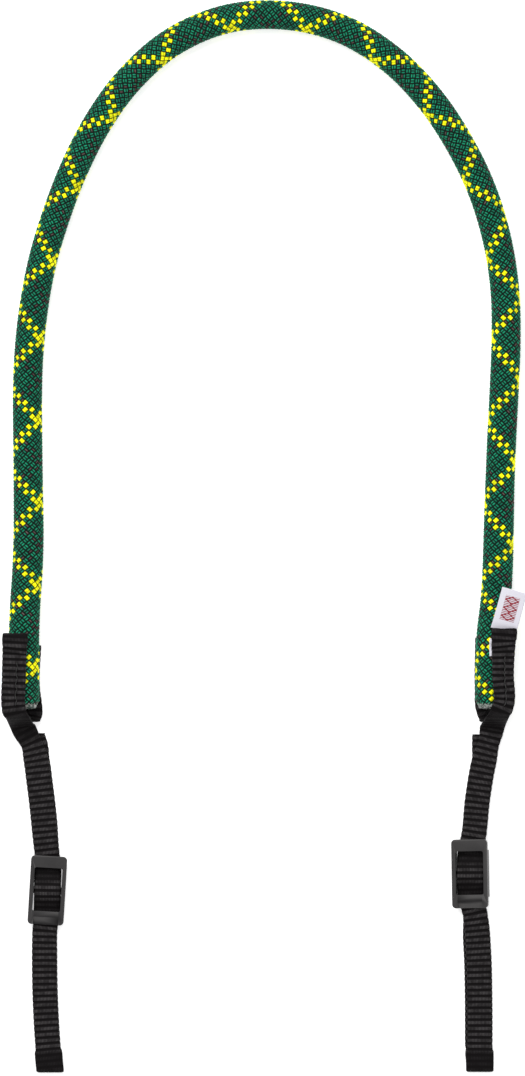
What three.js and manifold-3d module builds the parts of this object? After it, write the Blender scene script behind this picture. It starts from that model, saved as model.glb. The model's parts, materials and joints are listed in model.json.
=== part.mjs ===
// A rope camera strap, lying flat. A U of braided rope has each of its two cut ends sewn between two
// plies of flat webbing. The upper ply of each pair runs on as an adjustable strap: through a
// three-bar buckle, round a flat loop for the camera's eyelet, and back through the buckle to a free
// tail under itself. A folded label is sewn in under the right-hand ply.
// Millimetres. +Z is up from the table, +Y towards the crown of the rope, +X to the right.

import * as THREE from 'three';
import { mergeVertices } from 'three/addons/utils/BufferGeometryUtils.js';
import Module from 'manifold-3d';

const wasm = await Module();
wasm.setup();

const GAP = 0.3; // clearance kept between pieces that touch
const ORIGIN = new THREE.Vector3(0.73, 0.6, 0); // plan centre of the whole strap

// Rope: a braided sheath round parallel core strands
const ROPE_RADIUS = 5.5;
const ROPE_SIDES = 12;
const ROPE_STEPS = 44;
const SHEATH_WALL = 1.15;
const STRAND_RADIUS = 1.2;
const STRAND_SIDES = 6;
const RING_STRANDS = 6;
const SEAL_THICKNESS = 0.9;
const SEAL_EDGE = 0.5;

// Webbing
const WEB_WIDTH = 9.2;
const WEB_THICKNESS = 1.1;
const TAIL_Z = WEB_THICKNESS / 2; // middle of the ply that lies on the table
const MAIN_Z = TAIL_Z + WEB_THICKNESS + GAP; // middle of the ply above it

// Rope ends lie on a back ply, under a front ply
const SLEEVE_ROPE_Z = WEB_THICKNESS + GAP + ROPE_RADIUS;
const HEM_LENGTH = 4.8;
const HEM_GAP = 0.15; // inside the folded hem
const RAMP_TOP_Y = -62.8; // the front ply drops from the rope to the table between these two
const RAMP_FOOT_Y = -70.9;
const HINGE_Y = -71.8; // the strap bends here
const STITCH_FROM_HEM = 10.4;
const STITCH_END_Y = -61.5;
const STITCH_PITCH = 2.05;
const STITCH_SWING = 0.3;
const THREAD = 0.4;

// Buckle: two side rails, two high end bars and a low centre bar
const BUCKLE_WIDTH = 13.2;
const BUCKLE_LENGTH = 25.2;
const BUCKLE_HEIGHT = 5;
const RAIL_WIDTH = 1.5;
const TOP_BAR = 4.3;
const FOOT_BAR = 4.9;
const MOUTH_LENGTH = 4; // under each end bar, where the rails don't reach down
const FOOT_BEVEL = 2.8; // length of the slope that the webbing leaves over
const FOOT_BEVEL_SLOPE = THREE.MathUtils.degToRad(33);
const END_BAR_UNDERSIDE = MAIN_Z + WEB_THICKNESS / 2 + GAP;
const BUCKLE_CORNER = 1.3;
const BUCKLE_BEVEL = 0.4;
const CENTRE_BAR_WIDTH = 2.6;
const CENTRE_BAR_BOTTOM = 0.2;
const CENTRE_BAR_TOP = 1.8;
const HUMP_HEIGHT = CENTRE_BAR_TOP + GAP; // the plies rise this much over the centre bar
const HUMP_HALF_LENGTH = 7.6;
const ROLL_FADE = 22; // beyond a buckle that leans, the webbing lies flat again after this

// Label
const LABEL_WIDTH = 9.5;
const LABEL_LENGTH = 12.9;
const LABEL_THICKNESS = 0.6;
const LABEL_FROM_ROPE = 5.3;
const LABEL_FROM_HEM = 1.1;
const LABEL_CLEARANCE = 0.2;
const LABEL_LEAN = THREE.MathUtils.degToRad(-15);
const LABEL_LIFT = THREE.MathUtils.degToRad(5);
const LABEL_TILT = THREE.MathUtils.degToRad(10);

// Centreline of the rope, from its left end over the crown to its right end
const ROPE_ROUTE = [
  [-87.3, -61.4, 6.9], [-87.3, -48, 6.9], [-87.3, -35, 6.9], [-86.9, -24, 6.2], [-86.1, -12, 5.6],
  [-85.7, 2, 5.5], [-85.8, 18, 5.5], [-86.0, 36, 5.5], [-86.1, 52, 5.5], [-85.6, 67, 5.5],
  [-83.8, 84.3, 5.5], [-80.5, 101.7, 5.5], [-75.5, 118.4, 5.5], [-69.1, 135, 5.5], [-60.7, 151.5, 5.5],
  [-49.1, 167.6, 5.5], [-33.1, 181.6, 5.5], [-13.2, 190.1, 5.5], [8.6, 191.4, 5.5], [29.6, 186.2, 5.5],
  [47.8, 174.8, 5.5], [62.1, 159.8, 5.5], [72.9, 143.2, 5.5], [80.9, 126.1, 5.5], [86.1, 108.4, 5.5],
  [88.8, 90.3, 5.5], [89.2, 72.6, 5.5], [88.5, 54, 5.5], [87.6, 36, 5.5], [86.9, 18, 5.5],
  [86.5, 2, 5.5], [86.1, -12, 5.6], [85.3, -24, 6.2], [84.0, -35, 6.9], [83.6, -48, 6.9],
  [83.6, -61.4, 6.9],
].map(([x, y, z]) => new THREE.Vector3(x, y, z));

// The two ends. Plans are [y, x] of a webbing's centreline; side is +1 where the outside is +X.
// tailShift is how far inwards the tail lies from the ply over it
const ENDS = [
  {
    name: 'left',
    side: -1,
    ropeX: -87.3,
    hemY: -34.8,
    plyTilt: THREE.MathUtils.degToRad(13),
    plyOffset: 3.6, // of the front ply, outwards from the rope
    stitchX: 1.1,
    plyPlan: [
      [-34.8, -90.45], [-41, -90.7], [-59, -91.1], [-63.8, -90.75], [-66, -89.45], [-68.5, -88.3],
      [HINGE_Y, -86.5],
    ],
    backPlan: [[-39.2, -85.65], [-44.5, -86.15], [-56, -86.1], [-61, -85.4], [-64, -85.2], [-66.5, -86]],
    strapPlan: [
      [HINGE_Y, -86.5], [-75.5, -84.6], [-81.4, -83.05], [-87.3, -82.25], [-93.1, -81.5], [-99, -80.8],
      [-104.9, -80.2], [-110, -79.7], [-115.5, -79], [-120.5, -78.65], [-129.1, -78.8], [-137.7, -79],
      [-143.5, -79.75], [-150, -79.95], [-162, -79.9], [-173, -79.55], [-184, -78.9], [-196, -77.8],
    ],
    loopY: -196,
    tailTipY: -72.6,
    tailShift: { below: 0.2, above: 0.5, tip: 1.2 },
    buckle: { x: -78.82, y: -129.1, turn: THREE.MathUtils.degToRad(-3.4) },
    roll: 0,
  },
  {
    name: 'right',
    side: 1,
    ropeX: 83.6,
    hemY: -33,
    plyTilt: THREE.MathUtils.degToRad(28),
    plyOffset: 4.4,
    stitchX: 0.2,
    plyPlan: [
      [-33, 88.6], [-39, 88.2], [-53, 88], [-61.6, 87.9], [-64.2, 86.85], [-66.7, 85.4], [-69.7, 84.15],
      [HINGE_Y, 83.75],
    ],
    backPlan: [[-36.5, 82.5], [-61, 82.5], [-66, 84]],
    strapPlan: [
      [HINGE_Y, 83.75], [-75.9, 82.75], [-80.3, 81.6], [-87.3, 80.15], [-92.8, 79.3], [-98.3, 78.55],
      [-104.1, 78.1], [-108.5, 77.7], [-112.5, 77], [-116.5, 76.65], [-123, 76.6], [-130, 76.75],
      [-134, 77.2], [-137.5, 78.1], [-141, 78.55], [-147, 79], [-157, 79.5], [-176, 79.75], [-195.8, 79.65],
    ],
    loopY: -195.8,
    tailTipY: -72.8,
    tailShift: { below: 1, above: 0.1, tip: 2 },
    buckle: { x: 76.6, y: -123, turn: THREE.MathUtils.degToRad(1) },
    roll: THREE.MathUtils.degToRad(9),
  },
];

const MATERIALS = {
  sheath: new THREE.MeshStandardMaterial({ color: 0x0d6b49, roughness: 0.75, metalness: 0 }),
  core: new THREE.MeshStandardMaterial({ color: 0xe8e6dc, roughness: 0.8, metalness: 0 }),
  seal: new THREE.MeshStandardMaterial({ color: 0x8f9a90, roughness: 0.5, metalness: 0 }),
  webbing: new THREE.MeshStandardMaterial({ color: 0x1b191a, roughness: 0.85, metalness: 0 }),
  thread: new THREE.MeshStandardMaterial({ color: 0x262324, roughness: 0.7, metalness: 0 }),
  buckle: new THREE.MeshStandardMaterial({ color: 0x353537, roughness: 0.5, metalness: 0 }),
  label: new THREE.MeshStandardMaterial({ color: 0xeceaf2, roughness: 0.8, metalness: 0 }),
};

// Smooth step from 0 at a to 1 at b
function ease(a, b, value) {
  const t = THREE.MathUtils.clamp((value - a) / (b - a), 0, 1);
  return t * t * (3 - 2 * t);
}

// x of a smooth plan at y; the plan's points run from high y to low y
function planX(plan, y) {
  const last = plan.length - 1;
  let k = 0;
  while (k < last - 1 && y < plan[k + 1][0]) k += 1;
  const slope = (i) => {
    const before = plan[Math.max(i - 1, 0)];
    const after = plan[Math.min(i + 1, last)];
    return (after[1] - before[1]) / (after[0] - before[0]);
  };
  const [y0, x0] = plan[k];
  const [y1, x1] = plan[k + 1];
  const t = THREE.MathUtils.clamp((y - y0) / (y1 - y0), 0, 1);
  const cubic = (2 * t - 3) * t * t + 1;
  const ahead = (y1 - y0) * t * (1 - t);
  return x0 * cubic + x1 * (1 - cubic) + ahead * ((1 - t) * slope(k) - t * slope(k + 1));
}

function polygon(radius, sides, centre = new THREE.Vector2()) {
  const points = [];
  for (let k = 0; k < sides; k += 1) {
    const angle = (2 * Math.PI * k) / sides;
    points.push(new THREE.Vector2(Math.cos(angle), Math.sin(angle)).multiplyScalar(radius).add(centre));
  }
  return points;
}

function arc(centre, radius, from, to, steps) {
  const points = [];
  for (let k = 0; k <= steps; k += 1) {
    const angle = from + ((to - from) * k) / steps;
    points.push(new THREE.Vector2(Math.cos(angle), Math.sin(angle)).multiplyScalar(radius).add(centre));
  }
  return points;
}

function piece(name, geometry, material) {
  const mesh = new THREE.Mesh(geometry, material);
  mesh.name = name;
  return mesh;
}

// Stands a shape that is drawn in X-Y up in the Y-Z plane
const SIDE_VIEW = new THREE.Matrix4().makeBasis(
  new THREE.Vector3(0, 1, 0),
  new THREE.Vector3(0, 0, 1),
  new THREE.Vector3(1, 0, 0),
);

// A line of [y, z] stations as a curve that is stepped station by station
class Stations extends THREE.Curve {
  constructor(line) {
    super();
    this.line = line;
  }

  getPointAt(u) {
    const point = this.line[Math.round(u * (this.line.length - 1))];
    return new THREE.Vector3(0, point.x, point.y);
  }

  getTangentAt(u) {
    const k = Math.round(u * (this.line.length - 1));
    const before = this.line[Math.max(k - 1, 0)];
    const after = this.line[Math.min(k + 1, this.line.length - 1)];
    return new THREE.Vector3(0, after.x - before.x, after.y - before.y).normalize();
  }
}

// Webbing that follows a side-view line, each point then moved by place
function webbing(line, place) {
  const section = new THREE.Shape([
    new THREE.Vector2(-WEB_THICKNESS / 2, -WEB_WIDTH / 2),
    new THREE.Vector2(WEB_THICKNESS / 2, -WEB_WIDTH / 2),
    new THREE.Vector2(WEB_THICKNESS / 2, WEB_WIDTH / 2),
    new THREE.Vector2(-WEB_THICKNESS / 2, WEB_WIDTH / 2),
  ]);
  const along = { steps: line.length - 1, extrudePath: new Stations(line), bevelEnabled: false };
  return moved(new THREE.ExtrudeGeometry(section, along), place);
}

function moved(geometry, place) {
  const position = geometry.attributes.position;
  const point = new THREE.Vector3();
  for (let k = 0; k < position.count; k += 1) {
    point.fromBufferAttribute(position, k);
    place(point);
    position.setXYZ(k, point.x, point.y, point.z);
  }
  geometry.computeVertexNormals();
  return geometry;
}

// ---- Rope

function rope() {
  const route = new THREE.CatmullRomCurve3(ROPE_ROUTE);
  const along = { steps: ROPE_STEPS, extrudePath: route, bevelEnabled: false };
  const ring = new THREE.Shape(polygon(ROPE_RADIUS, ROPE_SIDES));
  ring.holes.push(new THREE.Path(polygon(ROPE_RADIUS - SHEATH_WALL, ROPE_SIDES)));
  const parts = [piece('rope_sheath', new THREE.ExtrudeGeometry(ring, along), MATERIALS.sheath)];

  const centres = [new THREE.Vector2(), ...polygon(2 * STRAND_RADIUS + GAP, RING_STRANDS)];
  centres.forEach((centre, k) => {
    const strand = new THREE.Shape(polygon(STRAND_RADIUS, STRAND_SIDES, centre));
    parts.push(piece(`core_strand_${k + 1}`, new THREE.ExtrudeGeometry(strand, along), MATERIALS.core));
  });
  return parts;
}

// The cut end of the rope, melted into a shallow cap
function ropeSeal(end) {
  const rim = ROPE_RADIUS - GAP;
  const profile = [
    [0, 0], [rim, 0], [rim, SEAL_THICKNESS - SEAL_EDGE], [rim - SEAL_EDGE, SEAL_THICKNESS], [0, SEAL_THICKNESS],
  ].map(([x, y]) => new THREE.Vector2(x, y));
  const seal = piece(`${end.name}_rope_end_seal`, new THREE.LatheGeometry(profile, ROPE_SIDES), MATERIALS.seal);
  seal.rotation.x = Math.PI;
  seal.position.set(end.ropeX, ROPE_ROUTE[0].y - GAP, SLEEVE_ROPE_Z);
  return seal;
}

// ---- Sewn sleeve at each rope end

// Height of the middle of the front ply, on its own centreline, where it lies on the rope
function plyHeight(end) {
  const reach = ROPE_RADIUS + GAP + WEB_THICKNESS / 2;
  const along = (end.plyOffset - reach * Math.sin(end.plyTilt)) / Math.cos(end.plyTilt);
  return SLEEVE_ROPE_Z + reach * Math.cos(end.plyTilt) - along * Math.sin(end.plyTilt);
}

// Turns a flat point beside the front ply's centreline into its tilted place
function onFrontPly(end) {
  return (point) => {
    const tilt = end.plyTilt * (1 - ease(RAMP_TOP_Y, RAMP_FOOT_Y, point.y));
    const across = point.x;
    point.x = planX(end.plyPlan, point.y) + across * Math.cos(tilt);
    point.z -= end.side * across * Math.sin(tilt);
  };
}

function frontPly(end) {
  const z = plyHeight(end);
  const rise = WEB_THICKNESS + HEM_GAP;
  const foldY = end.hemY - (WEB_THICKNESS + rise) / 2;
  const tuckY = end.hemY - HEM_LENGTH;
  const ramp = new THREE.CubicBezierCurve(
    new THREE.Vector2(RAMP_TOP_Y, z),
    new THREE.Vector2(RAMP_TOP_Y - 4.3, z),
    new THREE.Vector2(RAMP_FOOT_Y + 4, MAIN_Z),
    new THREE.Vector2(RAMP_FOOT_Y, MAIN_Z),
  );
  const line = [
    new THREE.Vector2(tuckY, z),
    ...arc(new THREE.Vector2(foldY, z + rise / 2), rise / 2, -Math.PI / 2, Math.PI / 2, 8),
    new THREE.Vector2(tuckY, z + rise),
    new THREE.Vector2(tuckY - 0.8, z + 0.85 * rise),
    new THREE.Vector2(tuckY - 2.4, z + 0.15 * rise),
    new THREE.Vector2(tuckY - 3.4, z),
    new THREE.Vector2(tuckY - 12, z),
    ...ramp.getPoints(12),
  ];
  return piece(`${end.name}_front_ply`, webbing(line, onFrontPly(end)), MATERIALS.webbing);
}

function backPly(end) {
  const bend = new THREE.CubicBezierCurve(
    new THREE.Vector2(-62.2, TAIL_Z),
    new THREE.Vector2(-64.6, TAIL_Z),
    new THREE.Vector2(-64.9, 2.6),
    new THREE.Vector2(-66, 5.1),
  );
  const line = [new THREE.Vector2(end.backPlan[0][0], TAIL_Z), new THREE.Vector2(-55, TAIL_Z), ...bend.getPoints(8)];
  const place = (point) => {
    point.x += planX(end.backPlan, point.y);
  };
  return piece(`${end.name}_back_ply`, webbing(line, place), MATERIALS.webbing);
}

// One zigzag row of thread down the front ply
function sleeveStitching(end) {
  const count = Math.round((end.hemY - STITCH_FROM_HEM - STITCH_END_Y) / STITCH_PITCH);
  const leftEdge = [];
  const rightEdge = [];
  for (let k = 0; k <= count; k += 1) {
    const x = end.stitchX + (k % 2 ? STITCH_SWING : -STITCH_SWING);
    const y = STITCH_END_Y + k * STITCH_PITCH;
    leftEdge.push(new THREE.Vector2(x - THREAD, y));
    rightEdge.push(new THREE.Vector2(x + THREAD, y));
  }
  const zigzag = new THREE.Shape([...rightEdge, ...leftEdge.reverse()]);
  const geometry = new THREE.ExtrudeGeometry(zigzag, { depth: THREAD, bevelEnabled: false });
  geometry.translate(0, 0, plyHeight(end) + WEB_THICKNESS / 2 + GAP);
  return piece(`${end.name}_sleeve_stitching`, moved(geometry, onFrontPly(end)), MATERIALS.thread);
}

// ---- Strap webbing and buckle

// How far the plies are raised over the buckle's centre bar
function hump(end, y) {
  const s = Math.min(Math.abs(y - end.buckle.y) / HUMP_HALF_LENGTH, 1);
  return (HUMP_HEIGHT * (1 + Math.cos(Math.PI * s))) / 2;
}

function strapStations(end, from, to) {
  const stations = [];
  const bumpTop = end.buckle.y + HUMP_HALF_LENGTH;
  const bumpEnd = end.buckle.y - HUMP_HALF_LENGTH;
  for (let y = from; y > bumpTop + 1; y -= 4) stations.push(y);
  for (let k = 0; k <= 12; k += 1) stations.push(bumpTop + ((bumpEnd - bumpTop) * k) / 12);
  for (let y = bumpEnd - 3; y > to + 1; y -= 4) stations.push(y);
  return stations;
}

function tailShift(end, y) {
  const { below, above, tip } = end.tailShift;
  const buckleTop = end.buckle.y + BUCKLE_LENGTH / 2;
  const buckleFoot = end.buckle.y - BUCKLE_LENGTH / 2;
  const belowBuckle = ease(buckleFoot, buckleFoot - 12, y) * ease(end.loopY + 3, end.loopY + 12, y);
  const aboveBuckle = ease(buckleTop, buckleTop + 12, y);
  return below * belowBuckle + above * aboveBuckle + tip * ease(end.tailTipY - 8.5, end.tailTipY, y);
}

function strapWebbing(end) {
  const foldRadius = (MAIN_Z - TAIL_Z) / 2;
  const foldY = end.loopY + foldRadius + WEB_THICKNESS / 2;
  const ply = (from, z) => strapStations(end, from, foldY).map((y) => new THREE.Vector2(y, z + hump(end, y)));
  const fold = arc(new THREE.Vector2(foldY, TAIL_Z + foldRadius), foldRadius, Math.PI / 2, (3 * Math.PI) / 2, 8);
  const line = [...ply(HINGE_Y, MAIN_Z), ...fold, ...ply(end.tailTipY, TAIL_Z).reverse()];
  const place = (point) => {
    const lean = end.roll * (1 - ease(BUCKLE_LENGTH / 2, ROLL_FADE, Math.abs(point.y - end.buckle.y)));
    const isTail = point.z < (MAIN_Z + TAIL_Z) / 2;
    const shift = isTail ? tailShift(end, point.y) : 0;
    const across = point.x;
    const up = point.z;
    point.x = planX(end.strapPlan, point.y) + across * Math.cos(lean) - end.side * (up * Math.sin(lean) + shift);
    point.z = up * Math.cos(lean) + end.side * across * Math.sin(lean) + (BUCKLE_WIDTH / 2) * Math.sin(lean);
  };
  return piece(`${end.name}_strap_webbing`, webbing(line, place), MATERIALS.webbing);
}

function toSolid(geometry) {
  const bare = geometry.index ? geometry.toNonIndexed() : geometry;
  bare.deleteAttribute('normal');
  bare.deleteAttribute('uv');
  const merged = mergeVertices(bare);
  return new wasm.Manifold(
    new wasm.Mesh({
      numProp: 3,
      vertProperties: new Float32Array(merged.attributes.position.array),
      triVerts: new Uint32Array(merged.index.array),
    }),
  );
}

function toGeometry(solid) {
  const mesh = solid.getMesh();
  const geometry = new THREE.BufferGeometry();
  geometry.setAttribute('position', new THREE.BufferAttribute(mesh.vertProperties, 3));
  geometry.setIndex(new THREE.BufferAttribute(mesh.triVerts, 1));
  geometry.computeVertexNormals();
  return geometry;
}

function box(width, length, height, y) {
  return toSolid(new THREE.BoxGeometry(width, length, height).translate(0, y, 0));
}

function buckleGeometry() {
  const w = BUCKLE_WIDTH / 2;
  const l = BUCKLE_LENGTH / 2;
  const r = BUCKLE_CORNER;
  const corner = (x, y, from) => arc(new THREE.Vector2(x, y), r, from, from + Math.PI / 2, 4);
  const outline = new THREE.Shape([
    ...corner(w - r, l - r, 0),
    ...corner(r - w, l - r, Math.PI / 2),
    ...corner(r - w, r - l, Math.PI),
    ...corner(w - r, r - l, -Math.PI / 2),
  ]);
  const block = new THREE.ExtrudeGeometry(outline, {
    depth: BUCKLE_HEIGHT - 2 * BUCKLE_BEVEL,
    bevelThickness: BUCKLE_BEVEL,
    bevelSize: BUCKLE_BEVEL,
    bevelOffset: -BUCKLE_BEVEL,
    bevelSegments: 2,
  }).translate(0, 0, BUCKLE_BEVEL);

  const inside = BUCKLE_WIDTH - 2 * RAIL_WIDTH;
  const window = box(inside, BUCKLE_LENGTH - TOP_BAR - FOOT_BAR, 3 * BUCKLE_HEIGHT, (FOOT_BAR - TOP_BAR) / 2);
  const tunnel = box(inside, 2 * BUCKLE_LENGTH, 2 * END_BAR_UNDERSIDE, 0);
  const mouths = [l, -l].map((y) => box(2 * BUCKLE_WIDTH, 2 * MOUTH_LENGTH, 2 * END_BAR_UNDERSIDE, y));
  const bevel = toSolid(
    new THREE.BoxGeometry(WEB_WIDTH, 2 * FOOT_BEVEL, BUCKLE_HEIGHT)
      .translate(0, -FOOT_BEVEL, BUCKLE_HEIGHT / 2)
      .rotateX(FOOT_BEVEL_SLOPE)
      .translate(0, FOOT_BEVEL - l, BUCKLE_HEIGHT),
  );

  const barHeight = CENTRE_BAR_TOP - CENTRE_BAR_BOTTOM;
  const bar = new THREE.Shape([
    new THREE.Vector2(-CENTRE_BAR_WIDTH / 2, CENTRE_BAR_BOTTOM),
    new THREE.Vector2(CENTRE_BAR_WIDTH / 2, CENTRE_BAR_BOTTOM),
    new THREE.Vector2(CENTRE_BAR_WIDTH / 2, CENTRE_BAR_TOP - barHeight / 2),
    new THREE.Vector2(CENTRE_BAR_WIDTH / 4, CENTRE_BAR_TOP),
    new THREE.Vector2(-CENTRE_BAR_WIDTH / 4, CENTRE_BAR_TOP),
    new THREE.Vector2(-CENTRE_BAR_WIDTH / 2, CENTRE_BAR_TOP - barHeight / 2),
  ]);
  const barLength = inside + RAIL_WIDTH;
  const centreBar = new THREE.ExtrudeGeometry(bar, { depth: barLength, bevelEnabled: false })
    .translate(0, 0, -barLength / 2)
    .applyMatrix4(SIDE_VIEW);
  const cuts = [window, tunnel, ...mouths, bevel];
  const body = cuts.reduce((solid, cut) => solid.subtract(cut), toSolid(block));
  return toGeometry(body.add(toSolid(centreBar)));
}

function buckle(end) {
  const frame = piece(`${end.name}_buckle`, buckleGeometry(), MATERIALS.buckle);
  frame.rotation.set(0, -end.side * end.roll, end.buckle.turn, 'ZYX');
  frame.position.set(end.buckle.x, end.buckle.y, (BUCKLE_WIDTH / 2) * Math.sin(end.roll));
  return frame;
}

// ---- Label: a folded tag that stands out from under the right-hand hem

function label(end) {
  const half = LABEL_WIDTH / 2;
  const thick = LABEL_THICKNESS / 2;
  const outline = new THREE.Shape([
    ...arc(new THREE.Vector2(0, 0), thick, Math.PI / 2, (3 * Math.PI) / 2, 6),
    ...arc(new THREE.Vector2(LABEL_LENGTH - thick, 0), thick, -Math.PI / 2, Math.PI / 2, 6),
  ]);
  const geometry = new THREE.ExtrudeGeometry(outline, { depth: LABEL_WIDTH, bevelEnabled: false })
    .translate(0, 0, -half)
    .applyMatrix4(SIDE_VIEW)
    .rotateX(LABEL_LIFT);
  const tag = piece('woven_label', geometry, MATERIALS.label);

  const lean = new THREE.Group();
  lean.rotation.z = LABEL_LEAN;
  lean.add(tag);
  const atHem = new THREE.Group();
  const reach = ROPE_RADIUS + GAP + thick + LABEL_CLEARANCE;
  const down = (LABEL_FROM_ROPE - reach * Math.sin(LABEL_TILT)) * Math.tan(LABEL_TILT);
  const z = SLEEVE_ROPE_Z + reach * Math.cos(LABEL_TILT) - down;
  atHem.position.set(end.ropeX + LABEL_FROM_ROPE, end.hemY + GAP + thick + LABEL_FROM_HEM, z);
  atHem.rotation.y = LABEL_TILT;
  atHem.add(lean);
  return atHem;
}

const strap = new THREE.Group();
strap.add(...rope());
ENDS.forEach((end) => {
  strap.add(ropeSeal(end), frontPly(end), backPly(end), sleeveStitching(end), strapWebbing(end), buckle(end));
});
strap.add(label(ENDS[1]));
strap.position.copy(ORIGIN).negate();

export default strap;
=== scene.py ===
"""Looks of a rope camera strap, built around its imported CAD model.

Lengths are in millimetres and angles in radians, unless a name says otherwise. Meshes are made in
metres. Each run of webbing is one long line of stations, from its hem down to its loop and back up to
its tail. The pieces of it are slices of that line, cut where a body ends.
"""

import json
import math

import bpy
import numpy as np
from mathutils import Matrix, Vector


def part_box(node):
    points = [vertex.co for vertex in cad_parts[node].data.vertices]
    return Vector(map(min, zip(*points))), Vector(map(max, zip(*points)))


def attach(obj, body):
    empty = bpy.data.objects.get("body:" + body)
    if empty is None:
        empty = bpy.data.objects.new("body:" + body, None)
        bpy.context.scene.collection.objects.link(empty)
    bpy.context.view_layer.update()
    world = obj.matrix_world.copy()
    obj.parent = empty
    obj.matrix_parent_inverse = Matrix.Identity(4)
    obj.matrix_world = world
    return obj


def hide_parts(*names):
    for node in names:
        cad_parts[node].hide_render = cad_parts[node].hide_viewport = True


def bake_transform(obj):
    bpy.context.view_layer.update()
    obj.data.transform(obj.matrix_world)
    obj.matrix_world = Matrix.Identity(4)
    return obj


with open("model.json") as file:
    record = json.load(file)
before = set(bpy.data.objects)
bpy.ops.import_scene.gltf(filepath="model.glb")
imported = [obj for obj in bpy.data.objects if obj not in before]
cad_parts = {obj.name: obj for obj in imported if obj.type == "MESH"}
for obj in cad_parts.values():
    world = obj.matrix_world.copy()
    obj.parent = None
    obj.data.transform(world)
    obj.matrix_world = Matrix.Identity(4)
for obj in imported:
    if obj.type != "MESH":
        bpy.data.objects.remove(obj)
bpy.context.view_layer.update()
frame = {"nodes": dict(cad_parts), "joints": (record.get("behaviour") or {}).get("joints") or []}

MM = 0.001
SEED = 7

# ---- Sizes that the CAD model has too
CAD_CENTRE = np.array([0.73, 0.6, 0.0])  # of the drawing in which the rope's route is given
ROPE_DIAMETER = 11.0
WEB_WIDTH = 9.2
WEB_THICKNESS = 1.1
TAIL_Z = 0.55  # middle of the ply that lies on the table
MAIN_Z = 1.95  # middle of the ply above it
GAP = 0.3  # clearance between pieces that touch
HEM_LENGTH = 4.8
RAMP_LENGTH = 8.1  # over which the front ply comes down from the rope
RAMP_FOOT = 0.9  # from the strap's upper end up to the foot of that ramp
HUMP_HEIGHT = 2.1  # of the webbing over the buckle's centre bar
HUMP_HALF_LENGTH = 7.6
BUCKLE_LENGTH = 25.2
BUCKLE_WIDTH = 13.2
BUCKLE_HEIGHT = 5.0

# ---- Sizes in which the looks leave the CAD model
HEM_RISE = 1.45  # from the middle of one folded layer to the next
HEM_TILT = math.radians(11)  # at most, where the CAD ply may lean further
TAIL_LONGER = 1.1

# ---- Braid
CARRIERS = 12  # strands each way
CELL_STEPS = 4  # mesh steps across one visible stitch of a strand
LEG_LAY = 30.2  # length of one full turn of a strand along the straight legs
CROWN_LAY = 29.3  # and round the crown, where the braid is a little shorter
CROWN_FROM, CROWN_TO = 134.5, 398.5
LAY_CHANGE = 10.0  # half the length over which one lay becomes the other
FIRST_STAR = 14.1  # where the bright strands first cross
STAR_SIDE = math.radians(51)  # how far round the rope they cross, from its top towards the inside
TWIST_FROM = 281.0  # the rope is twisted from here to its right end
TWIST_PER_MM = math.radians(0.214)
BRAID_DEPTH = 0.6
YARN_FOLD = 0.6  # height of the fold between a stitch's two yarns, as a share of the stitch's
CROWN_DIAMETER = 10.8
SWELLS = ((0.15, 130, 160), (0.45, 52, 90))  # extra diameter, and where it fades, from either end
END_TAPER = 0.16  # how much slimmer the rope is at its melted ends
END_TAPER_LENGTH = 2.2
CELL = math.pi * ROPE_DIAMETER / CARRIERS / math.sqrt(2)  # width of one visible stitch

# ---- Webbing weave
RIB_PITCH = 2.17
RIB_STEPS = 8  # mesh steps along one rib
RIB_DEPTH = 0.2
YARNS = 18  # warp yarns across the webbing
YARN_DEPTH = 0.07
FURROW_DEPTH = 0.45  # along the sleeve's stitches
FURROW_FROM_HEM = 9.5
FURROW_FROM_STRAP = 8.5
FURROW_FADE = 1.5

# How much narrower or wider the webbing is at some places, as shares of its width
BEND_PINCH = 0.14
LOOP_SPREAD = 0.1
HEM_SPREAD = 0.05
HEM_END_PINCH = 0.17
WINDOW_SPREAD = 0.08

# How much of the ribs' relief is pressed flat there
RAMP_FLATTENED = 0.8
LOOP_FLATTENED = 0.85
HEM_FLATTENED = 0.6
WINDOW_FLATTENED = 0.8

GREEN = (0.004, 0.17, 0.088)
GREEN_DARK = (0.003, 0.125, 0.068)
YELLOW = (0.97, 0.98, 0.004)
BROWN = (0.062, 0.045, 0.04)
MELTED = (0.32, 0.34, 0.31)

# Centreline of the rope in the CAD drawing, from its left end over the crown to its right end
ROPE_ROUTE = np.array([
    [-87.3, -61.4, 6.9], [-87.3, -48, 6.9], [-87.3, -35, 6.9], [-86.9, -24, 6.2], [-86.1, -12, 5.6],
    [-85.7, 2, 5.5], [-85.8, 18, 5.5], [-86.0, 36, 5.5], [-86.1, 52, 5.5], [-85.6, 67, 5.5],
    [-83.8, 84.3, 5.5], [-80.5, 101.7, 5.5], [-75.5, 118.4, 5.5], [-69.1, 135, 5.5], [-60.7, 151.5, 5.5],
    [-49.1, 167.6, 5.5], [-33.1, 181.6, 5.5], [-13.2, 190.1, 5.5], [8.6, 191.4, 5.5], [29.6, 186.2, 5.5],
    [47.8, 174.8, 5.5], [62.1, 159.8, 5.5], [72.9, 143.2, 5.5], [80.9, 126.1, 5.5], [86.1, 108.4, 5.5],
    [88.8, 90.3, 5.5], [89.2, 72.6, 5.5], [88.5, 54, 5.5], [87.6, 36, 5.5], [86.9, 18, 5.5],
    [86.5, 2, 5.5], [86.1, -12, 5.6], [85.3, -24, 6.2], [84.0, -35, 6.9], [83.6, -48, 6.9],
    [83.6, -61.4, 6.9],
]) - CAD_CENTRE


# ---- Small tools

def ease(a, b, value):
    """Smooth step from 0 at a to 1 at b."""
    t = np.clip((np.asarray(value, float) - a) / (b - a), 0, 1)
    return t * t * (3 - 2 * t)


def unit(vectors):
    return vectors / np.linalg.norm(vectors, axis=-1, keepdims=True)


def lengths_along(points):
    steps = np.linalg.norm(np.diff(points, axis=0), axis=1)
    return np.concatenate([[0], np.cumsum(steps)])


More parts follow.
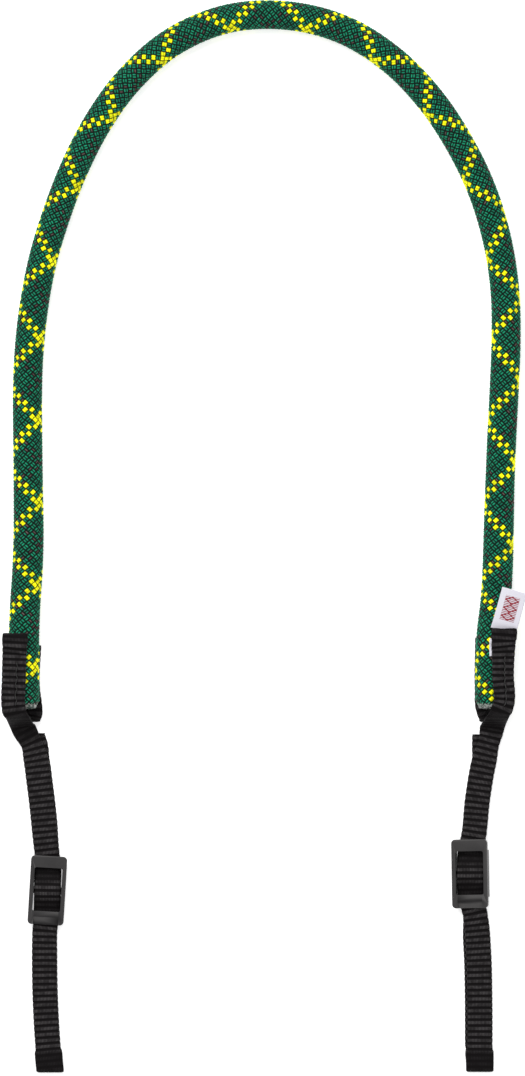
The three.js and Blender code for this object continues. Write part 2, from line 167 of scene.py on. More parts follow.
def rows_at(x, known_x, rows):
    """Rows that belong to known_x, which rises, at x."""
    return np.stack([np.interp(x, known_x, column) for column in rows.T], axis=-1)


def resampled(points, at):
    """Points of a polyline at these lengths along it."""
    return rows_at(at, lengths_along(points), points)


def around(angles, a, b):
    """Directions at angles from a towards b."""
    return np.cos(angles)[..., None] * a + np.sin(angles)[..., None] * b


def smooth_through(known_x, known_y, x):
    """A cubic curve through known values, at x. known_x rises."""
    slopes = np.gradient(known_y, known_x)
    k = np.clip(np.searchsorted(known_x, x) - 1, 0, len(known_x) - 2)
    width = known_x[k + 1] - known_x[k]
    t = np.clip((x - known_x[k]) / width, 0, 1)
    low = (1 + 2 * t) * (1 - t) ** 2 * known_y[k] + t * (1 - t) ** 2 * width * slopes[k]
    high = t * t * (3 - 2 * t) * known_y[k + 1] + t * t * (t - 1) * width * slopes[k + 1]
    return low + high


def bezier(a, b, c, d, steps):
    t = np.linspace(0, 1, steps + 1)[:, None]
    a, b, c, d = (np.array(p, float) for p in (a, b, c, d))
    return (1 - t) ** 3 * a + 3 * t * (1 - t) ** 2 * b + 3 * t * t * (1 - t) * c + t**3 * d


def rotation(axis, angle):
    """The matrix of a turn about axis 0, 1 or 2."""
    i, j = (axis + 1) % 3, (axis + 2) % 3
    matrix = np.eye(3)
    matrix[i, i] = matrix[j, j] = math.cos(angle)
    matrix[j, i] = math.sin(angle)
    matrix[i, j] = -math.sin(angle)
    return matrix


def rounded_rectangle(width, length, radius, steps=6):
    """Points of a rounded rectangle round the origin, anticlockwise."""
    points = []
    for k, (sx, sy) in enumerate(((1, 1), (-1, 1), (-1, -1), (1, -1))):
        for angle in np.linspace(0, math.pi / 2, steps + 1) + k * math.pi / 2:
            x = sx * (width / 2 - radius) + radius * math.cos(angle)
            points.append((x, sy * (length / 2 - radius) + radius * math.sin(angle)))
    return np.array(points)


# ---- Meshes

def new_object(name, data):
    thing = bpy.data.objects.new(name, data)
    bpy.context.scene.collection.objects.link(thing)
    return thing


def new_mesh(name, points, faces, corner_uv=None, corner_colours=None):
    """A smooth-shaded object from points in millimetres, with UVs and RGBA colours per face corner."""
    mesh = bpy.data.meshes.new(name)
    mesh.from_pydata((np.asarray(points) * MM).tolist(), [], [list(f) for f in faces])
    mesh.shade_smooth()
    if corner_uv is not None:
        layer = mesh.uv_layers.new(name="weave")
        layer.data.foreach_set("uv", np.asarray(corner_uv, np.float32).ravel())
    if corner_colours is not None:
        layer = mesh.color_attributes.new("strand", "FLOAT_COLOR", "CORNER")
        layer.data.foreach_set("color", corner_colours.astype(np.float32).ravel())
    return new_object(name, mesh)


def set_at_points(piece, name, values):
    """Keeps a value for each point of a mesh, for its material to read."""
    layer = piece.data.attributes.new(name, "FLOAT", "POINT")
    layer.data.foreach_set("value", values.astype(np.float32).ravel())


def tube(rings, across_uv, along_uv):
    """Points, faces and UVs of a closed tube through rings of points, with a fan over each end."""
    rows, columns = rings.shape[:2]
    points = np.concatenate([rings.reshape(-1, 3), [rings[0].mean(0), rings[-1].mean(0)]])
    r, c = np.meshgrid(np.arange(rows - 1), np.arange(columns), indexing="ij")
    after = (c + 1) % columns
    here, ahead = r * columns, (r + 1) * columns
    quads = np.stack([here + c, here + after, ahead + after, ahead + c], -1)
    u = np.append(across_uv, across_uv[0])
    v = np.asarray(along_uv)
    corners = ((0, 0), (1, 0), (1, 1), (0, 1))
    uv = np.stack([np.stack([u[c + i], v[r + j]], -1) for i, j in corners], -2)
    faces = quads.reshape(-1, 4).tolist()
    corner_uv = [uv.reshape(-1, 2)]
    middle = rows * columns
    for first, centre, row_v in ((0, middle, v[0]), (middle - columns, middle + 1, v[-1])):
        for k in range(columns):
            a, b = first + k, first + (k + 1) % columns
            faces.append([a, b, centre] if first else [b, a, centre])
        corner_uv.append(np.stack([np.repeat(across_uv, 3), np.full(3 * columns, row_v)], -1))
    return points, faces, np.concatenate(corner_uv)


def joined(parts):
    """Several (points, faces, uv) sets as one."""
    points, uv = (np.concatenate([part[k] for part in parts]) for k in (0, 2))
    faces, start = [], 0
    for part in parts:
        faces.extend([[i + start for i in face] for face in part[1]])
        start += len(part[0])
    return points, faces, uv


NEARLY_UP = (0.02, 0.01, 1)  # no round tube runs exactly this way


def round_tube(line, radius, sides=8):
    """A round tube along a line of points."""
    line = np.asarray(line, float)
    tangent = unit(np.gradient(line, axis=0))
    side = unit(np.cross(tangent, NEARLY_UP))
    up = np.cross(side, tangent)
    angles = np.linspace(0, 2 * math.pi, sides, endpoint=False)
    rings = line[:, None] + radius * around(angles, side[:, None], up[:, None])
    return tube(rings, angles * radius, lengths_along(line))


def finish_piece(piece, material, nodes=()):
    """Gives a piece its material and hides the CAD nodes that it stands for."""
    piece.data.materials.append(material)
    if nodes:
        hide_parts(*nodes)


# ---- Node materials

MIX_SOCKETS = (0, 6, 7)  # the mix node's share and two colours, by number, as their names repeat
MIX_RESULT = 2


class Shader:
    """One node material, made node by node."""

    def __init__(self, name):
        self.material = bpy.data.materials.new(name)
        self.material.use_nodes = True
        self.tree = self.material.node_tree
        self.surface = self.tree.nodes["Principled BSDF"]

    def feed(self, socket, value):
        """Links a socket to another node's output, or sets its value."""
        if isinstance(value, bpy.types.NodeSocket):
            self.tree.links.new(value, socket)
        else:
            socket.default_value = value

    def add(self, kind, inputs=None, output=0, **settings):
        """Adds a node and gives one of its outputs."""
        node = self.tree.nodes.new("ShaderNode" + kind)
        for key, value in settings.items():
            setattr(node, key, value)
        for key, value in (inputs or {}).items():
            self.feed(node.inputs[key], value)
        return node.outputs[output]

    def math(self, operation, a, b=0.0, c=0.0):
        return self.add("Math", {0: a, 1: b, 2: c}, operation=operation)

    def times(self, a, b):
        return self.math("MULTIPLY", a, b)

    def scaled(self, value, scale, start):
        return self.math("MULTIPLY_ADD", value, scale, start)

    def ramp(self, value, low, high, to_low=0.0, to_high=1.0):
        """value from low..high to to_low..to_high, smoothly."""
        inputs = {"Value": value, "From Min": low, "From Max": high, "To Min": to_low, "To Max": to_high}
        return self.add("MapRange", inputs, interpolation_type="SMOOTHSTEP")

    def noise(self, vector, scale, detail=2.0):
        return self.add("TexNoise", {"Vector": vector, "Scale": scale, "Detail": detail})

    def mix(self, share, a, b):
        """A colour between a and b, each an RGB tuple or an output."""
        node = self.tree.nodes.new("ShaderNodeMix")
        node.data_type = "RGBA"
        for number, value in zip(MIX_SOCKETS, (share, a, b)):
            self.feed(node.inputs[number], (*value, 1) if isinstance(value, tuple) else value)
        return node.outputs[MIX_RESULT]

    def tinted(self, colour, value):
        """A colour made lighter or darker by a value."""
        return self.add("VectorMath", {0: colour, "Scale": value}, operation="SCALE")

    def weave(self):
        """The mesh's own map, and its two axes: millimetres across and along."""
        weave = self.add("UVMap", uv_map="weave")
        across = self.add("SeparateXYZ", {0: weave})
        return weave, across, across.node.outputs[1]

    def set(self, **values):
        """Sets inputs of the surface, named with _ for each space."""
        for key, value in values.items():
            self.feed(self.surface.inputs[key.replace("_", " ")], value)

    def bump(self, height, distance, strength=1.0):
        normal = self.add("Bump", {"Height": height, "Distance": distance * MM, "Strength": strength})
        self.tree.links.new(normal, self.surface.inputs["Normal"])


def wave(shader, value, period):
    """0..1 and back over each period of a value."""
    turns = shader.times(value, 2 * math.pi / period)
    return shader.scaled(shader.math("COSINE", turns), -0.5, 0.5)


def braid_material():
    """Twisted yarns, two to a stitch, with painted highlights along their crests and painted shade between
    them and in the braid's grooves. The bright strands are fuller than the others.

    The strand's own colour is on the mesh, and how full it is in that colour's alpha.
    """
    s = Shader("braid")
    weave, across, along = s.weave()
    fibres = wave(s, s.scaled(along, 0.5, across), 0.24)
    blotches = s.noise(weave, 0.9, 3.0)
    fine = s.noise(weave, 9.0, 2.0)
    yarn = wave(s, across, CELL / 2)
    middle = wave(s, s.math("ADD", along, CELL / 2), CELL)
    strand = s.add("VertexColor", layer_name="strand")
    fullness = strand.node.outputs["Alpha"]
    groove = s.add("Attribute", output="Fac", attribute_name="height")
    # thin and full: painted highlight along each yarn's crest, with painted shade between the yarns and at
    # the stitch's ends
    thin = s.times(s.ramp(yarn, 0.15, 0.95), s.ramp(middle, 0.0, 0.7))
    thin = s.scaled(thin, 1.85, 0.13)
    full = s.times(s.ramp(yarn, -0.5, 0.5), s.ramp(middle, 0.0, 0.3))
    full = s.scaled(full, 1.25, 0.1)
    shade = s.scaled(fullness, s.math("SUBTRACT", full, thin), thin)
    shade = s.times(shade, s.scaled(fibres, 0.22, 0.72))
    shade = s.times(shade, s.scaled(blotches, 0.5, 0.8))
    # Painted shade in the braid's grooves: darker where the braid lies lower
    shade = s.times(shade, s.ramp(groove, 0.0, 0.6, 0.5, 1.05))
    s.set(
        Base_Color=s.tinted(strand, shade),
        Roughness=s.ramp(fine, 0.3, 0.7, 0.5, 0.68),
        Specular_IOR_Level=0.15,
    )
    s.bump(s.scaled(fine, 0.35, fibres), 0.05)
    return s.material


def webbing_material():
    """Black warp yarns floating over thick wefts, with a patchy painted highlight on the ribs' crests."""
    s = Shader("webbing")
    weave, across, along = s.weave()
    rib = wave(s, along, RIB_PITCH)
    yarn = wave(s, across, WEB_WIDTH / YARNS)
    crest = s.ramp(rib, 0.25, 0.75)
    tick = s.times(s.ramp(yarn, 0.25, 0.75, 0.12, 1.0), crest)
    relief = s.add("Attribute", output="Fac", attribute_name="relief")
    painted_highlight_mask = s.ramp(s.noise(weave, 0.35, 4.0), 0.38, 0.62, 0.45, 1.0)
    fine = s.noise(weave, 7.0, 2.0)
    # light is a painted highlight on the yarns of the ribs' crests, in patches, weaker where the ribs are
    # pressed flat
    light = s.times(s.times(tick, painted_highlight_mask), relief)
    colour = s.mix(light, (0.0042, 0.0033, 0.0036), (0.07, 0.065, 0.067))
    s.set(
        Base_Color=s.tinted(colour, s.ramp(fine, 0.25, 0.75, 0.7, 1.3)),
        Roughness=s.ramp(fine, 0.3, 0.7, 0.55, 0.75),
        Specular_IOR_Level=0.06,
    )
    s.bump(s.scaled(fine, 0.4, tick), 0.06)
    return s.material


def thread_material():
    s = Shader("thread")
    across, along = s.weave()[1:]
    plies = wave(s, s.scaled(across, 1.4, along), 0.5)
    s.set(Base_Color=s.mix(plies, (0.003, 0.0026, 0.0026), (0.014, 0.012, 0.012)), Roughness=0.5)
    s.bump(plies, 0.05)
    return s.material


def melted_material():
    """Braid and core fused by heat: pale grey, with dark green and scorched patches."""
    s = Shader("melted_end")
    place = s.add("TexCoord", output="Object")
    patches = s.noise(place, 900.0, 3.0)
    fine = s.noise(place, 3000.0, 2.0)
    colour = s.mix(s.ramp(patches, 0.42, 0.58), (0.02, 0.045, 0.033), (0.27, 0.28, 0.26))
    s.set(Base_Color=colour, Roughness=s.ramp(fine, 0.3, 0.7, 0.25, 0.55))
    s.bump(s.scaled(fine, 0.3, patches), 0.3)
    return s.material


def core_material():
    s = Shader("rope_core")
    across, along = s.weave()[1:]
    yarns = wave(s, s.scaled(along, 0.6, across), 0.8)
    s.set(Base_Color=s.mix(yarns, (0.62, 0.6, 0.54), (0.86, 0.85, 0.8)), Roughness=0.7, Sheen_Weight=0.2)
    s.bump(yarns, 0.08)
    return s.material


def buckle_material():
    """Moulded acetal with a fine spark-eroded grain, and a painted highlight along its edges."""
    s = Shader("buckle")
    place = s.add("TexCoord", output="Object")
    grain = s.noise(place, 5200.0, 2.0)
    cloud = s.noise(place, 160.0, 2.0)
    edge = s.add("NewGeometry", output="Pointiness")
    # Painted highlight along the edges, where the pointiness is high
    painted_highlight_mask = s.ramp(edge, 0.5, 0.58)
    base = s.mix(s.ramp(cloud, 0.35, 0.65), (0.015, 0.0142, 0.0148), (0.021, 0.0198, 0.0205))
    s.set(
        Base_Color=s.mix(painted_highlight_mask, base, (0.07, 0.067, 0.067)),
        Roughness=s.scaled(grain, 0.16, 0.38),
        Specular_IOR_Level=0.14,
    )
    s.bump(grain, 0.035)
    return s.material


def label_material():
    """White satin tape with a column of diamonds on a hatched ground woven into its face in red."""
    s = Shader("label")
    across, along = s.weave()[1:]
    warp = wave(s, across, 0.22)
    weft = wave(s, along, 0.3)
    threads = s.times(warp, weft)
    row = s.math("DIVIDE", s.math("SUBTRACT", along, MOTIF_FROM), MOTIF_PITCH)
    from_middle = s.math("ABSOLUTE", s.math("SUBTRACT", s.math("FRACT", row), 0.5))
    sideways = s.math("ABSOLUTE", across)
    reach = s.scaled(sideways, 1 / MOTIF_HALF_WIDTH, s.times(from_middle, 2))
    in_rows = s.times(s.math("GREATER_THAN", row, 0), s.math("LESS_THAN", row, MOTIF_ROWS))
    in_block = s.times(in_rows, s.math("LESS_THAN", sideways, MOTIF_HALF_WIDTH))
    outline = s.math("LESS_THAN", s.math("ABSOLUTE", s.math("SUBTRACT", reach, MOTIF_LINE)), MOTIF_LINE_HALF)
    hatch = s.math("GREATER_THAN", wave(s, along, MOTIF_HATCH), 0.4)
    red = s.times(in_block, s.math("MAXIMUM", outline, s.times(hatch, 0.85)))
    ground = s.mix(threads, (0.66, 0.65, 0.72), (0.84, 0.83, 0.9))
    s.set(
        Base_Color=s.mix(red, ground, (0.25, 0.006, 0.02)),
        Roughness=s.ramp(threads, 0.0, 1.0, 0.62, 0.5),
        Sheen_Weight=0.15,
    )
    s.bump(threads, 0.04)
    return s.material


# ---- Camera

VIEW_CENTRE = (-0.73, -0.6)
VIEW_LENGTH = 394.5  # of the table that the picture's long side takes in
CAMERA_HEIGHT = 6000.0
SENSOR = 36.0


def make_camera():
    camera = bpy.data.cameras.new("camera")
    camera.sensor_width = SENSOR
    camera.lens = SENSOR * CAMERA_HEIGHT / VIEW_LENGTH
    camera.clip_start, camera.clip_end = 100 * MM, 20000 * MM
    holder = new_object("camera", camera)
    holder.location = Vector((*VIEW_CENTRE, CAMERA_HEIGHT)) * MM
    bpy.context.scene.camera = holder


# ---- Rope

def catmull_rom(points, steps=24):
    """The centripetal curve that the CAD model sweeps its rope along."""
    ends = [2 * points[0] - points[1], *points, 2 * points[-1] - points[-2]]
    line = []
    for before, a, b, after in zip(ends, ends[1:], ends[2:], ends[3:]):
        k0, k1, k2 = (np.linalg.norm(q - p) ** 0.5 for p, q in ((before, a), (a, b), (b, after)))
        out = ((a - before) / k0 - (b - before) / (k0 + k1) + (b - a) / k1) * k1
        into = ((b - a) / k1 - (after - a) / (k1 + k2) + (after - b) / k2) * k1
        t = np.linspace(0, 1, steps, endpoint=False)[:, None]
        rise = t * t * (3 - 2 * t)
        line.append(a + (b - a) * rise + out * t * (1 - t) ** 2 - into * t * t * (1 - t))
    return np.concatenate([*line, points[-1:]])


def rope_diameter(to_end):
    """The rope is slimmest round the crown and swells towards its sewn ends."""
    diameter = CROWN_DIAMETER
    for extra, start, stop in SWELLS:
        diameter = diameter + extra * (1 - ease(start, stop, to_end))
    return diameter


class Rope:
    """The rope's centreline, with a direction round it at each length along it."""

    def __init__(self, step=0.5):
        line = catmull_rom(ROPE_ROUTE)
        self.length = lengths_along(line)[-1]
        self.at = np.linspace(0, self.length, int(self.length / step) + 1)
        self.line = resampled(line, self.at)
        self.tangent = unit(np.gradient(self.line, axis=0))
        self.inward = unit(np.cross(self.tangent, (0, 0, 1)))
        self.up = np.cross(self.inward, self.tangent)

    def surface(self, along, angle, radius):
        """Points at these lengths, angles from the top towards the inside of the U, and radii."""
        centre, inward, up = (rows_at(along, self.at, a) for a in (self.line, self.inward, self.up))
        return centre + radius[..., None] * around(angle, up, inward)


def lay_table(rope):
    """Turns of a strand about the rope along its length, 0 where the bright strands first cross."""
    crown = ease(CROWN_FROM - LAY_CHANGE, CROWN_FROM + LAY_CHANGE, rope.at)
    crown = crown - ease(CROWN_TO - LAY_CHANGE, CROWN_TO + LAY_CHANGE, rope.at)
    lay = LEG_LAY + (CROWN_LAY - LEG_LAY) * crown
    turns = np.concatenate([[0], np.cumsum(np.diff(rope.at) / lay[1:])])
    return turns - np.interp(FIRST_STAR, rope.at, turns)


def strand_colour(number, second_yarn):
    """RGBA of each strand: two are bright and full, the two opposite half brown, and the rest green."""
    number = number % CARRIERS
    bright = number <= 1
    opposite = (number - CARRIERS // 2) // 2 == 0
    colour = np.where((number % 3 == 0)[..., None], GREEN_DARK, GREEN)
    colour = np.where(bright[..., None], YELLOW, colour)
    colour = np.where((opposite & second_yarn)[..., None], BROWN, colour)
    return np.concatenate([colour, bright[..., None]], -1)


def cells(a, b):
    """Numbers of the strands that cross at a and b, and whether the first of them is on top."""
    cell_a = np.floor(a / CELL_STEPS + 0.5).astype(int)
    cell_b = np.floor(b / CELL_STEPS + 0.5).astype(int)
    return cell_a, cell_b, (cell_b - cell_a) % 2 == 0


def braid_height(a, b):
    """Height of the braid over its grooves, 0 to 1: a pillow with a fold between its two yarns."""
    in_a = (a / CELL_STEPS + 0.5) % 1 - 0.5
    in_b = (b / CELL_STEPS + 0.5) % 1 - 0.5
    a_on_top = cells(a, b)[2]
    lengthwise = np.where(a_on_top, in_b, in_a)
    off_middle = np.abs(np.where(a_on_top, in_a, in_b))
    bulge = np.sqrt(np.clip(np.cos(math.pi * lengthwise), 0, 1))
    return bulge * np.where(off_middle > 0.49, 0.0, np.where(off_middle < 0.1, YARN_FOLD, 1.0))


def braid_colours(rope, along, a, b):
    """RGBA of the faces that start at a and b. Each strand's tint changes a little on its way."""
    cell_a, cell_b, a_on_top = cells(a + 0.5, b + 0.5)
    crosswise = (np.where(a_on_top, a, b) + 0.5) / CELL_STEPS + 0.5
    colours = strand_colour(np.where(a_on_top, cell_a, cell_b), crosswise % 1 > 0.5)
    rng = np.random.default_rng(SEED)
    tint = rng.uniform(0.8, 1.2, (CARRIERS * 2, int(rope.length) + 2))
    strand = np.where(a_on_top, cell_a % CARRIERS, CARRIERS + cell_b % CARRIERS)
    colours[..., :3] *= tint[strand, (along / 6).astype(int)][..., None]
    to_end = np.minimum(along, rope.length - along)
    return colours + (np.array([*MELTED, 1]) - colours) * (1 - ease(0.2, 1.2, to_end))[..., None]


def braid_uv(a, b):
    """Millimetres across and along the strand on top, at the corners of the faces from a and b."""
    a_on_top = cells(a + 0.5, b + 0.5)[2][..., None, None]
    corner_a = np.stack([a, a + 1, a + 1, a], -1)
    corner_b = np.stack([b, b, b + 1, b + 1], -1)
    uv = np.where(a_on_top, np.stack([corner_a, corner_b], -1), np.stack([corner_b, corner_a], -1))
    return uv * CELL / CELL_STEPS


def make_rope(rope, material):
    """The braided sheath, on a lattice of the strands' own steps."""
    turns = lay_table(rope)
    rows_per_turn = 2 * CARRIERS * CELL_STEPS
    first = math.ceil(turns[0] * rows_per_turn)
    last = math.floor(turns[-1] * rows_per_turn)
    columns = CARRIERS * CELL_STEPS

    # Lattice points: a counts strands one way and b the other, in mesh steps; b - a is the row
    row = np.arange(first, last + 1)
    a = np.arange(columns)[None, :] + np.zeros(len(row), int)[:, None]
    b = a + row[:, None]
    along = np.interp((b - a) / rows_per_turn, turns, rope.at)
    angle = (a + b) * math.pi / columns - math.pi / CARRIERS + STAR_SIDE
    angle = angle + TWIST_PER_MM * np.maximum(along - TWIST_FROM, 0)
    height = braid_height(a, b)
    to_end = np.minimum(along, rope.length - along)
    radius = rope_diameter(to_end) / 2 - BRAID_DEPTH * (1 - height)
    radius = radius * (1 - END_TAPER * (1 - ease(0, END_TAPER_LENGTH, to_end)))
    points = rope.surface(along, angle, radius).reshape(-1, 3)

    # Quads between rows r - 1, r (twice) and r + 1, round the lattice's diamonds
    r, c = np.meshgrid(np.arange(1, len(row) - 1), np.arange(columns), indexing="ij")
    right = (c + 1) % columns
    before, here, ahead = (r - 1) * columns, r * columns, (r + 1) * columns
    quads = np.stack([here + c, before + right, here + right, ahead + c], -1)
    colours = braid_colours(rope, along[r, c], c, c + row[r])
    uv = braid_uv(c, c + row[r])
    corner_colours = np.repeat(colours.reshape(-1, 4), 4, axis=0)
    piece = new_mesh("rope_braid", points, quads.reshape(-1, 4), uv.reshape(-1, 2), corner_colours)
    set_at_points(piece, "height", height)
    finish_piece(piece, material, ["rope_sheath"])
    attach(piece, "root")


CORE_STRANDS = 7
CORE_RING = 2.75  # radius of the ring of strands round the middle one
CORE_STRAND_RADIUS = 1.25
CORE_LAY = 90
CORE_STEP = 2.5


def make_core(rope, material):
    """The core's strands, one in the middle and the others laid up round it with a slow twist."""
    at = np.arange(0, rope.length, CORE_STEP)
    parts = []
    for k in range(CORE_STRANDS):
        angle = 2 * math.pi * (k / (CORE_STRANDS - 1) + at / CORE_LAY)
        offset = np.full(len(at), 0.0 if k == CORE_STRANDS - 1 else CORE_RING)
        parts.append(round_tube(rope.surface(at, angle, offset), CORE_STRAND_RADIUS))
    piece = new_mesh("rope_core", *joined(parts))
    finish_piece(piece, material, [f"core_strand_{k + 1}" for k in range(CORE_STRANDS)])
    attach(piece, "root")


# The melted end's outline, as shares of its rim's radius and how far out each is
SEAL_OUTLINE = (
    (0.9, -1.2), (1, -0.4), (1, 0.3), (0.9, 0.75), (0.72, 1.0), (0.5, 1.15), (0.25, 1.2), (0.06, 1.2),
)


def make_rope_seal(rope, end, material):
    """The melted end: a lumpy dome that closes the braid."""
    at_start = end.side < 0
    centre = rope.line[0 if at_start else -1]
    outward = -rope.tangent[0] if at_start else rope.tangent[-1]
    side = rope.inward[0 if at_start else -1]
    up = np.cross(side, outward)
    rim = ROPE_DIAMETER / 2 * (1 - END_TAPER) - 0.1
    angles = np.linspace(0, 2 * math.pi, 40, endpoint=False)
    spokes = around(angles, side, up)
    rings = []
    for share, out in SEAL_OUTLINE:
        lumps = 0.12 * np.sin(5 * angles + 2 * out) + 0.08 * np.sin(11 * angles + 1.3)
        reach = rim * share * (1 + 0.25 * lumps)
        push = out + lumps * (0.5 + share)
        rings.append(centre + reach[:, None] * spokes + push[:, None] * outward)
    points, faces, uv = tube(np.array(rings), angles * rim, [out for _, out in SEAL_OUTLINE])
    piece = new_mesh(f"{end.name}_melted_end", points, faces, uv)
    smooth = piece.modifiers.new("smooth", "SUBSURF")
    smooth.levels = smooth.render_levels = 1
    finish_piece(piece, material, [f"{end.name}_rope_end_seal"])
    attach(piece, "root")


# ---- Webbing

def edge_pairs(node):
    """Rows of y, middle x, middle z and tilt, from a CAD webbing's edge points that share y."""
    co = np.array([v.co for v in frame["nodes"][node].data.vertices]) / MM
    co = np.unique(np.round(co, 3), axis=0)
    rows = []
    for y in np.unique(co[:, 1]):
        row = co[co[:, 1] == y]
        middle = (row[:, 0].min() + row[:, 0].max()) / 2
        left, right = (np.array(sorted(side.tolist(), key=lambda p: p[2]))
                       for side in (row[row[:, 0] < middle], row[row[:, 0] > middle]))
        if len(left) != len(right):
            continue
        for a, b in zip(left, right):
            tilt = math.atan2(b[2] - a[2], b[0] - a[0])
            rows.append((y, (a[0] + b[0]) / 2, (a[2] + b[2]) / 2, tilt))
    return np.array(rows)


def by_y(rows, column, y):
    """A column of edge rows at y, smoothly."""
    known = np.unique(rows[:, 0])
    values = np.array([rows[rows[:, 0] == k, column].mean() for k in known])
    keep = np.concatenate([[True], np.diff(known) > 0.3])
    return smooth_through(known[keep], values[keep], y)


def half_turn(y, bottom, radius, start, count):
    """Points of half a circle in the side view, round y and over bottom, from a start angle."""
    angles = np.linspace(start, start + math.pi, count)
    return np.stack([y + radius * np.cos(angles), bottom + radius * (1 + np.sin(angles))], 1)


class End:
    """One end of the strap: its sleeve, webbing and buckle, placed by the CAD nodes."""

    def __init__(self, name, side, stitch_x, flat_below):
        self.name, self.side, self.stitch_x = name, side, stitch_x
        self.flat_below = flat_below  # how far below the strap's top its ribs are still pressed flat
        low, high = (np.array(c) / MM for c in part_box(f"{name}_buckle"))
        self.buckle = (low + high) / 2
        self.rope_x = ROPE_ROUTE[0 if side < 0 else -1][0]
        slide = next(j for j in frame["joints"] if j["name"] == f"{name}_buckle_slide")
        self.turn = math.atan2(-slide["axis"][0], slide["axis"][1])
        self.front = edge_pairs(f"{name}_front_ply")
        self.strap = edge_pairs(f"{name}_strap_webbing")
        self.roll = float(by_y(self.strap, 3, self.buckle[1]))
        self.hem_y = self.front[:, 0].max()
        self.strap_y = self.strap[:, 0].max()
        self.loop_y = self.strap[:, 0].min()
        self.foot_y = self.strap_y + RAMP_FOOT
        y = self.front[:, 0]
        level = (y < self.hem_y - HEM_LENGTH - 4) & (y > self.foot_y + RAMP_LENGTH + 0.2)
        self.sleeve_z = self.front[level, 2].mean()
        tails = self.strap[(self.strap[:, 2] < 1.0) & (self.strap[:, 0] > self.buckle[1] + 25)]
        self.tail_y = tails[:, 0].max() + TAIL_LONGER
        self.stations()

    def hump(self, y):
        s = np.minimum(np.abs(y - self.buckle[1]) / HUMP_HALF_LENGTH, 1)
        return HUMP_HEIGHT * (1 + np.cos(math.pi * s)) / 2

    def side_view(self):
        """The webbing's middle line as (y, z), and its length to the ramp's foot and to the loop's turn."""
        z = self.sleeve_z
        tuck = self.hem_y - HEM_LENGTH
        fold = self.hem_y - (WEB_THICKNESS + HEM_RISE) / 2
        hem = half_turn(fold, z, HEM_RISE / 2, -math.pi / 2, 17)
        over = z + HEM_RISE
        drop = bezier((tuck + 0.6, over), (tuck - 1.4, over), (tuck - 1.6, z), (tuck - 3.6, z), 12)
        foot = self.foot_y
        top = foot + RAMP_LENGTH
        ramp = bezier((top, z), (top - 4.3, z), (foot + 4, MAIN_Z), (foot, MAIN_Z), 40)
        radius = (MAIN_Z - TAIL_Z) / 2
        loop = self.loop_y + radius + WEB_THICKNESS / 2
        down = np.arange(foot - 0.5, loop, -0.5)
        turn = half_turn(loop, TAIL_Z, radius, math.pi / 2, 13)
        back = np.arange(loop + 0.5, self.tail_y, 0.5)
        line = np.concatenate([
            [[tuck, z]], hem, drop, ramp,
            np.stack([down, MAIN_Z + self.hump(down)], 1),
            turn,
            np.stack([back, TAIL_Z + self.hump(back)], 1),
            [[self.tail_y, TAIL_Z]],
        ])
        along = lengths_along(line)
        at_foot = len(hem) + len(drop) + len(ramp)
        at_turn = len(line) - 1 - len(back) - (len(turn) + 1) // 2
        return line, along[at_foot], along[at_turn]

    def stations(self):
        """Places the webbing's middle line in space, with the directions across it and out of its face."""
        line, to_foot, to_turn = self.side_view()
        step = RIB_PITCH / RIB_STEPS
        first = -math.floor(to_foot / step)
        last = math.floor((lengths_along(line)[-1] - to_foot) / step)
        self.along = np.arange(first, last + 1) * step
        self.is_tail = self.along + to_foot > to_turn
        y, height = resampled(line, self.along + to_foot).T

        level = self.strap.copy()  # as it would be without the lean of its buckle
        lean = self.strap[:, 3]
        level[:, 2] -= BUCKLE_WIDTH / 2 * np.abs(np.sin(lean))
        level[:, 1] += level[:, 2] * np.tan(lean)
        upper = level[:, 2] - self.hump(level[:, 0]) > (MAIN_Z + TAIL_Z) / 2
        mains = np.concatenate([self.front, level[upper]])
        x = np.where(self.is_tail, by_y(level[~upper], 1, y), by_y(mains, 1, y))
        in_strap = y <= self.strap_y
        tilt = np.where(in_strap, by_y(self.strap, 3, y), by_y(self.front, 3, y))
        raised = np.where(in_strap, BUCKLE_WIDTH / 2 * np.abs(np.sin(tilt)), 0)
        x = x - np.where(in_strap, height * np.sin(tilt), 0)
        at_hem = np.clip(tilt, -HEM_TILT, HEM_TILT) - tilt
        at_hem = at_hem * ease(self.hem_y - 15, self.hem_y - 2, y)
        raised = raised + self.over_rope(tilt + at_hem, x) - self.over_rope(tilt, x)
        tilt = tilt + at_hem
        self.centre = np.stack([x, y, height + raised], 1)
        tangent = unit(np.gradient(self.centre, axis=0))
        across = np.stack([np.cos(tilt), np.zeros_like(tilt), np.sin(tilt)], 1)
        self.across = unit(across - tangent * (across * tangent).sum(1, keepdims=True))
        self.up = np.cross(self.across, tangent)

    def over_rope(self, tilt, x):
        """Height over the rope's middle of a ply that lies on the rope with this tilt, at x."""
        reach = ROPE_DIAMETER / 2 + GAP + WEB_THICKNESS / 2
        return (reach - np.abs(x - self.rope_x) * np.sin(np.abs(tilt))) / np.cos(tilt)

    def width(self):
        """How wide the webbing is at each station, as a share of its usual width."""
        y = self.centre[:, 1]
        pinch = BEND_PINCH * np.exp(-(((y - self.strap_y + 3.3) / 3.6) ** 2)) * ~self.is_tail
        pressed = LOOP_SPREAD * ease(self.loop_y + 9.5, self.loop_y + 7, y)
        hem = HEM_SPREAD * ease(self.hem_y - 5, self.hem_y - 3.5, y)
        hem -= HEM_END_PINCH * ease(self.hem_y - 1.5, self.hem_y, y) ** 2
        window = WINDOW_SPREAD * ease(9.5, 7.5, np.abs(y - self.buckle[1]))
        return 1 - pinch + pressed + hem + window

